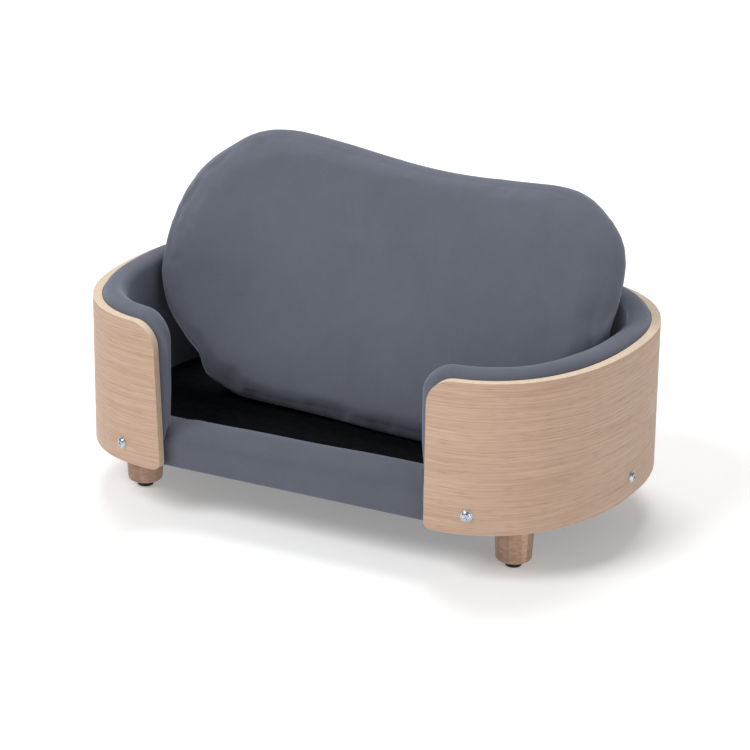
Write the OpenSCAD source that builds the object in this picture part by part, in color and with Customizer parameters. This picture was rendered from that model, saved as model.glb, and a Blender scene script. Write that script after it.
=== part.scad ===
// Pet sofa: a bent plywood shell with a padded liner, a boxed base on four turned legs
// and a loose seat cushion that stands on its long edge between the padded sides.
// Millimetres. The front faces -Y, the floor is z = 0, the origin is under the middle.

/* [Bent shell] */
// Width across the two sides
shell_w = 600; // [580:2:620]
// Depth from front to back
shell_d = 376; // [370:1:390]
// Height of the lower edge above the floor
shell_z = 55; // [45:1:65]
// Height of the plywood from edge to edge
shell_h = 158; // [150:1:170]
// Thickness of the plywood
ply_t = 9.5; // [8:0.5:11]
// Width of the doorway between the two front ends
door_w = 308; // [290:2:312]
// Radius of the upper front corners
top_corner_r = 28; // [20:1:38]
// Radius of the lower front corners
foot_corner_r = 8; // [4:1:10]

/* [Plan curve] */
// Half axis along X of a front corner
front_a = 144.8; // [140:0.2:150]
// Half axis along Y of a front corner
front_b = 194; // [188:1:196]
// Exponent of a front corner, 2 is an ellipse and more is squarer
front_n = 2.3; // [2.1:0.05:2.5]
// Half axis along X of a back corner
back_a = 159; // [150:1:165]
// Half axis along Y of a back corner
back_b = 181; // [175:1:186]
// Exponent of a back corner
back_n = 2.15; // [2:0.05:2.4]

/* [Padded liner] */
// Thickness of the upholstered wall
liner_t = 25; // [20:1:27]
// How far the padding stands above the plywood
liner_rise = 9; // [4:1:14]
// How far the padding stands past the shell's front ends
liner_proud = 7; // [3:1:8]
// Length over which the padding tapers at a front end
nose_l = 32; // [20:1:40]
// Thickness of the velvet with its backing
cloth_t = 1.5; // [1:0.1:2]
// Thickness of the bendable board behind the foam
liner_board_t = 3; // [2:0.5:4]

/* [Base] */
// Height of the seat deck above the shell's lower edge
deck_rise = 30; // [28:1:34]
// Height of the wooden rails
rail_h = 22; // [20:1:24]
// Depth of the front rail
front_rail_d = 25.5; // [22:0.5:28]
// How far the upholstered front lies behind the shell's front
front_set = 15; // [13:0.5:18]
// Height of the front roll's crest above the shell's lower edge
roll_rise = 47; // [42:1:52]
// Depth of the front roll
roll_d = 51; // [44:1:56]

/* [Legs] */
// Distance between the leg centres along X
leg_span_x = 437.5; // [420:0.5:444]
// Distance between the leg centres along Y
leg_span_y = 220; // [210:1:222]
// Diameter at the top of a leg
leg_top_d = 40; // [36:1:42]
// Diameter at the foot of a leg
leg_foot_d = 34; // [28:1:36]
// Diameter of the black glide
glide_d = 17; // [14:1:20]
// Height of the glide under the leg
glide_h = 6.5; // [2:0.5:8]

/* [Bolts] */
// Height of the bolts above the shell's lower edge
bolt_rise = 20; // [18:1:22]
// Distance of the front and back bolts from the middle plane
bolt_x = 200; // [190:1:206]
// Place of the side bolts along Y
bolt_y = -7; // [-12:1:0]
// Diameter of the domed bolt heads
bolt_head_d = 13; // [11:0.5:15]

/* [Cushion] */
// Width of the cushion
cushion_w = 527; // [500:1:528]
// Height of the cushion along its face
cushion_h = 295; // [270:1:300]
// Thickness at the rounded rim
cushion_t = 55; // [44:1:60]
// Extra thickness of each face in the middle
cushion_crown = 6; // [2:1:8]
// Lean of the left end from upright, degrees
lean_left = 15; // [12:1:20]
// Lean of the right end from upright, degrees
lean_right = 26; // [20:1:28]
// Turn of the cushion seen from above, degrees
cushion_yaw = -3.2; // [-4:0.2:-2]

/* [Hidden] */

gap = 0.3;              // clearance between pieces that are only laid together
eps = 1;                // overrun of a cutting tool
front_cx = shell_w / 2 - front_a;
back_cx = shell_w / 2 - back_a;
front_cy = front_b - shell_d / 2;
back_cy = shell_d / 2 - back_b;
shell_top = shell_z + shell_h;
deck_z = shell_z + deck_rise;
deck_cloth_t = 1;
deck_board_t = 3;
rail_top = deck_z - deck_cloth_t - deck_board_t;
rail_z = rail_top - rail_h;
dust_t = 0.8;
leg_top = rail_z - dust_t;
quarter_steps = 14;

// ---- plan curve: four quarters of a superellipse, each point as [x, y, normal x, normal y]

function quarter(a, b, n, t) =
    let(c = max(cos(t), 0), s = max(sin(t), 0),
        m = [pow(c, 2 - 2 / n) / a, pow(s, 2 - 2 / n) / b], k = norm(m))
    [a * pow(c, 2 / n), b * pow(s, 2 / n), m.x / k, m.y / k];

function front_point(t) =
    let(q = quarter(front_a, front_b, front_n, t))
    [front_cx + q[0], front_cy - q[1], q[2], -q[3]];

function back_point(t) =
    let(q = quarter(back_a, back_b, back_n, t))
    [back_cx + q[0], back_cy + q[1], q[2], q[3]];

// point of the front curve at a given distance x from the middle plane
function front_at(x) =
    let(u = max(0, (x - front_cx) / front_a), v = pow(1 - pow(u, front_n), 1 / front_n),
        m = [pow(u, front_n - 1) / front_a, pow(v, front_n - 1) / front_b], k = norm(m))
    [x, front_cy - front_b * v, m.x / k, -m.y / k];

function back_at(x) =
    let(u = max(0, (x - back_cx) / back_a), v = pow(1 - pow(u, back_n), 1 / back_n),
        m = [pow(u, back_n - 1) / back_a, pow(v, back_n - 1) / back_b], k = norm(m))
    [x, back_cy + back_b * v, m.x / k, m.y / k];

function side_at(y) =
    let(v = (front_cy - y) / front_b, u = pow(1 - pow(v, front_n), 1 / front_n),
        m = [pow(u, front_n - 1) / front_a, pow(v, front_n - 1) / front_b], k = norm(m))
    [front_cx + front_a * u, y, m.x / k, -m.y / k];

function mirrored(p) = [-p[0], p[1], -p[2], p[3]];
function inset(p, d) = [p[0] - d * p[2], p[1] - d * p[3]];
function backwards(list) = [for (i = [len(list) - 1:-1:0]) list[i]];

right_half = concat(
    [for (i = [0:quarter_steps]) front_point(90 - 90 * i / quarter_steps)],
    [for (i = [1:quarter_steps]) back_point(90 * i / quarter_steps)]);
plan_points = concat(right_half, [for (p = backwards(right_half)) mirrored(p)]);

// area inside the plan curve, moved in by d
module plan_area(d) {
    polygon([for (p = plan_points) inset(p, d)]);
}

module plan_slab(d, z0, z1) {
    translate([0, 0, z0]) linear_extrude(z1 - z0) plan_area(d);
}

module plan_ring(d0, d1, z0, z1) {
    translate([0, 0, z0]) linear_extrude(z1 - z0) difference() {
        plan_area(d0);
        plan_area(d1);
    }
}

module block(x0, x1, y0, y1, z0, z1) {
    translate([x0, y0, z0]) cube([x1 - x0, y1 - y0, z1 - z0]);
}

// ---- bolts: [x, y, normal x, normal y] where each one enters the shell

right_bolts = [front_at(bolt_x), side_at(bolt_y), back_at(bolt_x)];
bolt_points = concat(right_bolts, [for (p = right_bolts) mirrored(p)]);
bolt_r = 3;
bolt_l = 34;
insert_r = 4.5;
insert_from = 17;
insert_l = 15;

// puts its children on a bolt's axis, which runs inwards along +Z
module at_bolt(p) {
    translate([p[0], p[1], shell_z + bolt_rise])
        rotate([0, 90, atan2(-p[3], -p[2])]) children();
}

module bolt_bores(r, from, length) {
    for (p = bolt_points)
        at_bolt(p) translate([0, 0, from]) cylinder(h = length, r = r, $fn = 32);
}

// ---- bent shell

// one side of the doorway seen from the front, with the rounded corners of the plywood
function door_side() =
    let(x = door_w / 2, rt = top_corner_r, rf = foot_corner_r)
    concat(
        [[x + rf, shell_z - eps]],
        [for (a = [270:-15:180]) [x + rf + rf * cos(a), shell_z + rf + rf * sin(a)]],
        [for (a = [180:-9:90]) [x + rt + rt * cos(a), shell_top - rt + rt * sin(a)]],
        [[x + rt, shell_top + eps]]);

module doorway() {
    side = door_side();
    translate([0, -shell_d / 4, 0]) rotate([90, 0, 0]) linear_extrude(shell_d / 2)
        polygon(concat(side, [for (p = backwards(side)) [-p.x, p.y]]));
}

module bent_shell() {
    color("burlywood") difference() {
        plan_ring(0, ply_t, shell_z, shell_top);
        doorway();
        bolt_bores(bolt_r + gap, -eps, ply_t + 2 * eps);
    }
}

// ---- padded liner: one profile swept round the inside of the shell, from end to end

liner_top = shell_top + liner_rise;
liner_in = ply_t + 0.1 + liner_t / 2;     // middle of the padding, in from the shell's face
liner_tip = door_w / 2 - liner_proud;
liner_corner_r = top_corner_r + liner_proud;

// stations from the tip, round one side, to the middle of the back, with distance from the tip
function liner_half(tip_steps) = concat(
    [for (s = tip_steps) concat(front_at(liner_tip + s), [s])],
    [for (i = [1:quarter_steps]) let(p = front_point(90 - 90 * i / quarter_steps))
        concat(p, [nose_l + liner_corner_r])],
    [for (i = [1:quarter_steps]) let(p = back_point(90 * i / quarter_steps))
        concat(p, [nose_l + liner_corner_r])]);

function liner_stations(tip_steps) =
    let(half = liner_half(tip_steps))
    concat(
        [for (p = half) [-p[0], p[1], -p[2], p[3], p[4]]],
        backwards(half));

function taper(s) = s >= nose_l ? 1 : sqrt(1 - pow(1 - s / nose_l, 2));
function corner_drop(s) = s >= liner_corner_r ? 0
    : liner_corner_r - sqrt(pow(liner_corner_r, 2) - pow(liner_corner_r - s, 2));

// an upright wall with a round top, as [distance in from the shell's face, height]
function wall_profile(s, skin, near, lower) =
    let(half = liner_t / 2 * taper(s) - skin, top = liner_top - corner_drop(s) - skin - lower,
        lo = near > 0 ? near : liner_in - half, hi = liner_in + half, r = (hi - lo) / 2)
    concat(
        [[lo, deck_z]],
        [for (a = [180:-30:0]) [(lo + hi) / 2 + r * cos(a), top - r + r * sin(a)]],
        [[hi, deck_z]]);

function sweep_points(stations, profiles) =
    [for (i = [0:len(stations) - 1]) for (q = profiles[i])
        [stations[i][0] - q.x * stations[i][2], stations[i][1] - q.x * stations[i][3], q.y]];

// sides of a sweep, and its two ends: one flat face, or strips across a hollow profile's wall
function sweep_faces(rows, cols, ends) = concat(
    [for (i = [0:rows - 2]) for (j = [0:cols - 1]) let(k = (j + 1) % cols)
        [i * cols + j, (i + 1) * cols + j, (i + 1) * cols + k]],
    [for (i = [0:rows - 2]) for (j = [0:cols - 1]) let(k = (j + 1) % cols)
        [i * cols + j, (i + 1) * cols + k, i * cols + k]],
    [for (f = ends) f],
    [for (f = ends) [for (j = backwards(f)) (rows - 1) * cols + j]]);

function flat_end(cols) = [[for (j = [0:cols - 1]) j]];
function wall_end(cols) = [for (j = [0:cols / 2 - 2]) [j, j + 1, cols - 2 - j, cols - 1 - j]];

module sweep(stations, profiles, ends) {
    polyhedron(sweep_points(stations, profiles),
        sweep_faces(len(stations), len(profiles[0]), ends), convexity = 6);
}

module liner_cover() {
    stations = liner_stations([1, 3, 7, 13, 21]);
    profiles = [for (p = stations)
        concat(wall_profile(p[4], 0, 0, 0), backwards(wall_profile(p[4], cloth_t, 0, 0)))];
    color("slategray") sweep(stations, profiles, wall_end(len(profiles[0])));
}

foam_near = ply_t + cloth_t + liner_board_t + 3 * gap;
foam_lower = 2;                           // room for the foam's tighter round top

module liner_foam() {
    stations = liner_stations([13, 21]);
    profiles = [for (p = stations) wall_profile(p[4], cloth_t + gap, foam_near, foam_lower)];
    color("lightyellow") sweep(stations, profiles, flat_end(len(profiles[0])));
}

module liner_board() {
    board_near = ply_t + cloth_t + gap;
    board_top = shell_top - top_corner_r;
    color("peru") difference() {
        plan_ring(board_near, board_near + liner_board_t, deck_z, board_top);
        block(-door_w / 2 - 20, door_w / 2 + 20, -shell_d, 0, deck_z - eps, board_top + eps);
    }
}

// ---- base: four rails and four corner blocks inside the shell, with a deck on top

front_face = -shell_d / 2 + front_set;
rail_face = front_face + cloth_t + 2;
front_rail_back = rail_face + front_rail_d;
back_rail_front = 142;
side_rail_in = 262;

module shell_infill(x0, x1, y0, y1, z0, z1) {
    intersection() {
        plan_slab(ply_t + gap, z0, z1);
        block(x0, x1, y0, y1, z0 - eps, z1 + eps);
    }
}

module rail(x0, x1, y0, y1) {
    color("wheat") difference() {
        shell_infill(x0, x1, y0, y1, rail_z, rail_top);
        bolt_bores(bolt_r + gap, 0, bolt_l + 2);
        bolt_bores(insert_r, 0, insert_from + insert_l);
    }
}

module front_rail() { rail(-shell_w, shell_w, rail_face, front_rail_back); }
module back_rail() { rail(-shell_w, shell_w, back_rail_front, shell_d); }
module left_rail() { rail(-shell_w, -side_rail_in, front_rail_back, back_rail_front); }
module right_rail() { rail(side_rail_in, shell_w, front_rail_back, back_rail_front); }

block_in = 188;
block_d = 60;
tee_barrel_r = 5;
tee_flange_r = 11;
tee_flange_t = 1.5;
tee_barrel_l = 12;
hanger_r = 4;
hanger_up = rail_top - leg_top - 3;
hanger_down = 28;

// places children at a leg: side is -1 or 1 along X, end is -1 for the front and 1 for the back
module at_leg(side, end) {
    translate([side * leg_span_x / 2, end * leg_span_y / 2, 0]) children();
}

module corner_block(side, end) {
    far = end < 0 ? -front_rail_back : back_rail_front;
    x0 = side < 0 ? -side_rail_in : block_in;
    y0 = end < 0 ? -far : far - block_d;
    color("tan") difference() {
        shell_infill(x0, x0 + side_rail_in - block_in, y0, y0 + block_d, rail_z, rail_top);
        at_leg(side, end) {
            translate([0, 0, rail_z - eps]) cylinder(h = rail_h + 2 * eps, r = tee_barrel_r, $fn = 32);
            translate([0, 0, rail_top - tee_flange_t])
                cylinder(h = tee_flange_t + eps, r = tee_flange_r, $fn = 48);
        }
    }
}

module front_left_block() { corner_block(-1, -1); }
module front_right_block() { corner_block(1, -1); }
module back_left_block() { corner_block(-1, 1); }
module back_right_block() { corner_block(1, 1); }

module deck_board() {
    color("sienna")
        shell_infill(-shell_w, shell_w, rail_face, shell_d, rail_top, rail_top + deck_board_t);
}

module deck_cloth() {
    color([0.12, 0.14, 0.17])
        shell_infill(-shell_w, shell_w, rail_face, shell_d, deck_z - deck_cloth_t, deck_z);
}

module dust_cover() {
    color([0.15, 0.15, 0.15]) difference() {
        intersection() {
            plan_slab(ply_t + 3, leg_top, rail_z);
            block(-shell_w, shell_w, front_face + 22, shell_d, leg_top - eps, rail_z + eps);
        }
        for (side = [-1, 1]) for (end = [-1, 1])
            at_leg(side, end) cylinder(h = rail_z + eps, r = hanger_r + 1, $fn = 32);
    }
}

// ---- upholstered front roll, drawn as [y, z] and extruded along X

roll_top = shell_z + roll_rise;
roll_shoulder = shell_z + 25;        // where the upright front starts to round over
roll_foot = rail_z - cloth_t;
roll_crest_y = front_face + roll_d / 2;
roll_end = door_w / 2 + 21;          // the lower part runs on behind the plywood
roll_reach = 226;                    // the roll itself runs on behind the padding

// outline of the roll from its back foot over the crest and down to the front's lower edge
function roll_outline(skin) = concat(
    [for (a = [0:10:90]) [roll_crest_y + (roll_d / 2 - skin) * cos(a),
        deck_z + (roll_top - deck_z - skin) * sin(a)]],
    [for (a = [100:10:180]) [roll_crest_y + (roll_d / 2 - skin) * cos(a),
        roll_shoulder + (roll_top - roll_shoulder - skin) * sin(a)]]);

module along_x(half) {
    rotate([90, 0, 90]) translate([0, 0, -half]) linear_extrude(2 * half) children();
}

// keeps the low front between the shell's ends and trims the roll where the padding stands
module roll_trim() {
    difference() {
        union() {
            block(-roll_end, roll_end, -shell_d, 0, shell_z, deck_z);
            plan_slab(ply_t + gap, deck_z, roll_top + eps);
        }
        difference() {
            plan_ring(0, ply_t + liner_t + 2 * gap, deck_z, roll_top + 2 * eps);
            block(gap - liner_tip, liner_tip - gap, -shell_d, shell_d, deck_z - eps, shell_top);
        }
    }
}

module roll_foam() {
    color("lightyellow") intersection() {
        along_x(roll_reach) polygon(concat(
            roll_outline(cloth_t),
            [[front_face + cloth_t, rail_z], [rail_face, rail_z], [rail_face, deck_z]]));
        roll_trim();
    }
}

module roll_cover() {
    inner = backwards(roll_outline(cloth_t));
    flap = front_face + 21;
    color("slategray") intersection() {
        along_x(roll_reach) polygon(concat(
            roll_outline(0),
            [[front_face, roll_foot], [flap, roll_foot], [flap, rail_z],
             [front_face + cloth_t, rail_z]],
            inner));
        roll_trim();
    }
}

// ---- legs

module leg(side, end) {
    chamfer = 2;
    color("rosybrown") difference() {
        at_leg(side, end) union() {
            translate([0, 0, glide_h])
                cylinder(h = chamfer, d1 = leg_foot_d - 2 * chamfer, d2 = leg_foot_d, $fn = 64);
            translate([0, 0, glide_h + chamfer])
                cylinder(h = leg_top - glide_h - chamfer, d1 = leg_foot_d, d2 = leg_top_d, $fn = 64);
        }
        at_leg(side, end) translate([0, 0, leg_top - hanger_down])
            cylinder(h = hanger_down + eps, r = hanger_r, $fn = 32);
    }
}

module front_left_leg() { leg(-1, -1); }
module front_right_leg() { leg(1, -1); }
module back_left_leg() { leg(-1, 1); }
module back_right_leg() { leg(1, 1); }

module glide(side, end) {
    color([0.05, 0.05, 0.05]) at_leg(side, end) cylinder(h = glide_h, d = glide_d, $fn = 48);
}

module front_left_glide() { glide(-1, -1); }
module front_right_glide() { glide(1, -1); }
module back_left_glide() { glide(-1, 1); }
module back_right_glide() { glide(1, 1); }

// ---- fasteners

module hanger_bolts() {
    color("silver") for (side = [-1, 1]) for (end = [-1, 1])
        at_leg(side, end) translate([0, 0, leg_top - hanger_down])
            cylinder(h = hanger_down + hanger_up, r = hanger_r, $fn = 32);
}

module tee_nuts() {
    color("silver") for (side = [-1, 1]) for (end = [-1, 1])
        at_leg(side, end) difference() {
            union() {
                translate([0, 0, rail_top - tee_flange_t])
                    cylinder(h = tee_flange_t, r = tee_flange_r, $fn = 48);
                translate([0, 0, rail_top - tee_barrel_l])
                    cylinder(h = tee_barrel_l, r = tee_barrel_r, $fn = 32);
            }
            translate([0, 0, rail_top - tee_barrel_l - eps])
                cylinder(h = tee_barrel_l + 2 * eps, r = hanger_r, $fn = 32);
        }
}

// a domed head with a cross recess on a plain shank
module shell_bolt() {
    head_r = bolt_head_d / 2;
    dome = 3.4;
    dome_r = (head_r * head_r + dome * dome) / (2 * dome);
    cylinder(h = bolt_l, r = bolt_r, $fn = 32);
    difference() {
        intersection() {
            translate([0, 0, dome_r - dome]) sphere(r = dome_r, $fn = 64);
            translate([0, 0, -dome]) cylinder(h = dome, r = head_r, $fn = 64);
        }
        for (a = [0, 90]) rotate([0, 0, a]) translate([-3, -0.6, -dome - eps]) cube([6, 1.2, 1.8 + eps]);
    }
}

module shell_bolts() {
    color("silver") for (p = bolt_points) at_bolt(p) shell_bolt();
}

module threaded_inserts() {
    color("gold") for (p = bolt_points) at_bolt(p) translate([0, 0, insert_from]) difference() {
        cylinder(h = insert_l, r = insert_r, $fn = 32);
        translate([0, 0, -eps]) cylinder(h = insert_l + 2 * eps, r = bolt_r, $fn = 32);
    }
}

// ---- cushion: a soft outline in its own plane, [u across, v up], wrapped in a round rim

rim_r = cushion_t / 2;
mid_w = cushion_w - cushion_t;
mid_h = cushion_h - cushion_t;
outline_steps = 14;
cushion_x = -1.2;
cushion_y = -34;
cushion_roll = -1.2;
lean_at = 200;                    // distance from the middle where the two leans are given
// corners as [half axis across, half axis up, exponent], from the lower right anticlockwise
corner_br = [110, 105, 2];
corner_tr = [96, 84, 2.6];
corner_tl = [138, 143, 2.2];
corner_bl = [112, 97, 1.6];
dip = 12;                         // the top edge sags between its two shoulders
dip_x = 46;
dip_w = 118;

function corner(c, t) = [c[0] * pow(max(cos(t), 0), 2 / c[2]), c[1] * pow(max(sin(t), 0), 2 / c[2])];
function steps(from, to) = [for (i = [0:outline_steps]) from + (to - from) * i / outline_steps];
function sagged(p) = [p.x, p.y - dip * exp(-pow((p.x - dip_x) / dip_w, 2))
    * max(0, p.y / (mid_h / 2) - 1)];

cushion_outline = [for (p = concat(
    [for (t = steps(90, 0)) let(q = corner(corner_br, t))
        [mid_w / 2 - corner_br[0] + q.x, corner_br[1] - q.y]],
    [for (t = steps(0, 90)) let(q = corner(corner_tr, t))
        [mid_w / 2 - corner_tr[0] + q.x, mid_h - corner_tr[1] + q.y]],
    [for (t = steps(90, 0)) let(q = corner(corner_tl, t))
        [-mid_w / 2 + corner_tl[0] - q.x, mid_h - corner_tl[1] + q.y]],
    [for (t = steps(0, 90)) let(q = corner(corner_bl, t))
        [-mid_w / 2 + corner_bl[0] - q.x, corner_bl[1] - q.y]])) sagged(p)];

// moves a point of the cushion's plane to its place; w runs out of the front face
function leaning(u, v, w) =
    let(x = u * cos(cushion_roll) - v * sin(cushion_roll),
        h = u * sin(cushion_roll) + v * cos(cushion_roll),
        th = lean_left + (lean_right - lean_left) * (x + lean_at) / (2 * lean_at))
    [cushion_x + x * cos(cushion_yaw),
     cushion_y + x * sin(cushion_yaw) + h * sin(th) - w * cos(th),
     deck_z + 2 * gap + rim_r + 4 + h * cos(th) + w * sin(th)];

// scales the outline about the cushion's middle: 1 on the rim's centre line
function scaled(p, kx, ky) = [p.x * kx, mid_h / 2 + (p.y - mid_h / 2) * ky];

// rings as [how far out from the rim's centre line, distance along w], front to back
function pillow_rings(skin) =
    [for (a = [90:-30:-90]) [(rim_r - skin) * cos(a), (rim_r - skin) * sin(a)]];

function pillow_points(skin) =
    let(rings = pillow_rings(skin), crown = rim_r - skin + cushion_crown)
    concat(
        [leaning(0, mid_h / 2, crown)],
        [for (p = cushion_outline) let(q = scaled(p, 0.5, 0.5))
            leaning(q.x, q.y, crown - cushion_crown * 0.25)],
        [for (r = rings) for (p = cushion_outline)
            let(q = scaled(p, 1 + r[0] / (mid_w / 2), 1 + r[0] / (mid_h / 2)))
            leaning(q.x, q.y, r[1])],
        [for (p = cushion_outline) let(q = scaled(p, 0.5, 0.5))
            leaning(q.x, q.y, cushion_crown * 0.25 - crown)],
        [leaning(0, mid_h / 2, -crown)]);

function pillow_faces(rows, cols) =
    let(last = 1 + rows * cols)
    concat(
        [for (j = [0:cols - 1]) [0, 1 + (j + 1) % cols, 1 + j]],
        [for (i = [0:rows - 2]) for (j = [0:cols - 1]) let(k = (j + 1) % cols, b = 1 + i * cols)
            [b + j, b + k, b + cols + k]],
        [for (i = [0:rows - 2]) for (j = [0:cols - 1]) let(k = (j + 1) % cols, b = 1 + i * cols)
            [b + j, b + cols + k, b + cols + j]],
        [for (j = [0:cols - 1]) [last, last - cols + j, last - cols + (j + 1) % cols]]);

module pillow(skin) {
    polyhedron(pillow_points(skin), pillow_faces(len(pillow_rings(0)) + 2, len(cushion_outline)),
        convexity = 4);
}

module cushion_filling() {
    color("ivory") pillow(cloth_t + gap);
}

module cushion_cover() {
    color("slategray") difference() {
        pillow(0);
        pillow(cloth_t);
    }
}

// ---- zip low on the cushion's back: a chain and the slider that runs along it

zip_half = 175;
zip_v = 40;
zip_w = -rim_r - 5.2;
zip_a = leaning(-zip_half, zip_v, zip_w);
zip_b = leaning(zip_half, zip_v, zip_w);
zip_dir = (zip_b - zip_a) / norm(zip_b - zip_a);
zip_turn = atan2(zip_dir.y, zip_dir.x);
zip_drop = -asin(zip_dir.z);
zip_lean = (lean_left + lean_right) / 2;

// puts its children on the zip's line: X along it, Y towards the back, Z up the cushion
module at_zip(x) {
    translate(zip_a + x * zip_dir) rotate([0, 0, zip_turn]) rotate([0, zip_drop, 0])
        rotate([-zip_lean, 0, 0]) children();
}

module zip_chain() {
    color("dimgray") at_zip(0) translate([0, -0.6, -3]) cube([norm(zip_b - zip_a), 1.4, 6]);
}

module zip_slider() {
    color("silver") at_zip(4) union() {
        translate([0, 1.2, -4]) cube([9, 2.4, 8]);
        translate([2, 3.4, -24]) cube([5, 1.2, 26]);
    }
}

bent_shell();
liner_board();
liner_foam();
liner_cover();
front_rail();
back_rail();
left_rail();
right_rail();
front_left_block();
front_right_block();
back_left_block();
back_right_block();
deck_board();
deck_cloth();
roll_foam();
roll_cover();
dust_cover();
front_left_leg();
front_right_leg();
back_left_leg();
back_right_leg();
front_left_glide();
front_right_glide();
back_left_glide();
back_right_glide();
hanger_bolts();
tee_nuts();
shell_bolts();
threaded_inserts();
cushion_filling();
cushion_cover();
zip_chain();
zip_slider();
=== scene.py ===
import bpy
import math
from mathutils import Matrix, Vector, noise
from mathutils.kdtree import KDTree


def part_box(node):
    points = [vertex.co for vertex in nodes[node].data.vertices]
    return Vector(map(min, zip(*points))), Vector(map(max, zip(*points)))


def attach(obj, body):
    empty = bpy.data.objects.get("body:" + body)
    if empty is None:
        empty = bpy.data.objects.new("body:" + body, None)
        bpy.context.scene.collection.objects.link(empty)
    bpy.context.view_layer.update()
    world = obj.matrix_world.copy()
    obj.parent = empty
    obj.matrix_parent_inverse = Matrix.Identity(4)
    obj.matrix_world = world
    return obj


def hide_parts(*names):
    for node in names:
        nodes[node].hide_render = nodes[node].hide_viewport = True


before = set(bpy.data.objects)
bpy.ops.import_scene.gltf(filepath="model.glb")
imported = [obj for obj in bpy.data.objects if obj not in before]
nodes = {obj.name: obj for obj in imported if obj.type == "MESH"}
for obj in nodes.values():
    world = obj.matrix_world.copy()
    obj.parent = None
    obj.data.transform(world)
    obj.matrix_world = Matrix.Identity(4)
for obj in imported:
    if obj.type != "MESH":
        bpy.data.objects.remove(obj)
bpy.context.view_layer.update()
print("frame loaded:", len(nodes), "nodes")

mm = 0.001

# places taken from the frame
shellLow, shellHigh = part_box("bent_shell")
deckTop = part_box("deck_cloth")[1][2]
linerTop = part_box("liner_cover")[1][2]
rollLow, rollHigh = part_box("roll_cover")


# small helpers


def deselectAll():
    if bpy.context.mode != "OBJECT":
        bpy.ops.object.mode_set(mode="OBJECT")
    bpy.ops.object.select_all(action="DESELECT")


def pick(*pieces):
    deselectAll()
    for piece in pieces:
        piece.select_set(True)
    bpy.context.view_layer.objects.active = pieces[0]


def newest(name):
    piece = bpy.context.active_object
    piece.name = name
    piece.data.name = name
    return piece


def applyModifier(piece, kind, **settings):
    pick(piece)
    modifier = piece.modifiers.new(kind.title(), kind)
    for key, value in settings.items():
        setattr(modifier, key, value)
    bpy.ops.object.modifier_apply(modifier=modifier.name)


def editAll(piece, *steps):
    # each step is an operator and its settings, run in edit mode on the whole mesh
    pick(piece)
    bpy.ops.object.mode_set(mode="EDIT")
    for operator, settings in steps:
        bpy.ops.mesh.select_all(action="SELECT")
        operator(**settings)
    bpy.ops.object.mode_set(mode="OBJECT")


def mergeAndTurnOut(piece, distance=0.02 * mm):
    editAll(piece,
            (bpy.ops.mesh.remove_doubles, {"threshold": distance}),
            (bpy.ops.mesh.normals_make_consistent, {"inside": False}))


def smooth(piece, angle=35):
    pick(piece)
    bpy.ops.object.shade_smooth_by_angle(angle=math.radians(angle))


def settle(piece):
    # the place goes into the mesh, and the object itself stays at the origin
    pick(piece)
    bpy.ops.object.transform_apply(location=True, rotation=True, scale=True)


def gridPiece(name, columns, rows, place):
    # a flat grid, each of whose vertices is then laid on the surface of the piece
    deselectAll()
    bpy.ops.mesh.primitive_grid_add(x_subdivisions=columns, y_subdivisions=rows, size=1)
    piece = newest(name)
    for vertex in piece.data.vertices:
        i = round((vertex.co.x + 0.5) * columns)
        j = round((vertex.co.y + 0.5) * rows)
        vertex.co = place(i, j)
    return piece


def joined(name, pieces):
    pick(*pieces)
    if len(pieces) > 1:
        bpy.ops.object.join()
    return newest(name)


def copyOf(piece, matrix):
    pick(piece)
    bpy.ops.object.duplicate()
    twin = bpy.context.active_object
    twin.data.transform(matrix)
    return twin


def blendStep(low, high, x):
    # 0 at low, 1 at high and soft between; low may be the greater of the two
    t = min(max((x - low) / ((high - low) or 1e-9), 0.0), 1.0)
    return t * t * (3 - 2 * t)


def hill(x, width):
    return math.exp(-(x / width) ** 2)


def spread(start, end, step):
    count = max(1, round((end - start) / step))
    return [start + (end - start) * i / count for i in range(count + 1)]


# the plan curve: four superellipse quarters, as in the design

plan = {
    "halfWidth": (shellHigh[0] - shellLow[0]) / 2,
    "halfDepth": (shellHigh[1] - shellLow[1]) / 2,
    "front": (144.8 * mm, 194 * mm, 2.3),      # half axis along X, along Y, exponent
    "back": (159 * mm, 181 * mm, 2.15),
    "ply": 9.5 * mm,
    "doorHalf": 156 * mm,
}


def superQuarter(corner, t):
    a, b, n = corner
    c, s = max(math.cos(t), 0.0), max(math.sin(t), 0.0)
    mx, my = c ** (2 - 2 / n) / a, s ** (2 - 2 / n) / b
    k = math.hypot(mx, my)
    return a * c ** (2 / n), b * s ** (2 / n), mx / k, my / k


def frontPoint(t):
    x, y, nx, ny = superQuarter(plan["front"], t)
    cx = plan["halfWidth"] - plan["front"][0]
    cy = plan["front"][1] - plan["halfDepth"]
    return Vector((cx + x, cy - y)), Vector((nx, -ny))


def backPoint(t):
    x, y, nx, ny = superQuarter(plan["back"], t)
    cx = plan["halfWidth"] - plan["back"][0]
    cy = plan["halfDepth"] - plan["back"][1]
    return Vector((cx + x, cy + y)), Vector((nx, ny))


def planPath(steps=240):
    # from the middle of the doorway, round the right side, to the middle of the back
    points = [(Vector((0, -plan["halfDepth"])), Vector((0, -1)))]
    points += [frontPoint(math.pi / 2 * (1 - i / steps)) for i in range(steps + 1)]
    points += [backPoint(math.pi / 2 * i / steps) for i in range(1, steps + 1)]
    points.append((Vector((0, plan["halfDepth"])), Vector((0, 1))))
    path = []
    arc = 0.0
    for i, (point, normal) in enumerate(points):
        arc += (point - points[max(i - 1, 0)][0]).length
        path.append((arc, point, normal))
    return path


path = planPath()
halfLength = path[-1][0]
pathTree = KDTree(len(path))
for index, (arc, point, normal) in enumerate(path):
    pathTree.insert((point.x, point.y, 0), index)
pathTree.balance()


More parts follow.
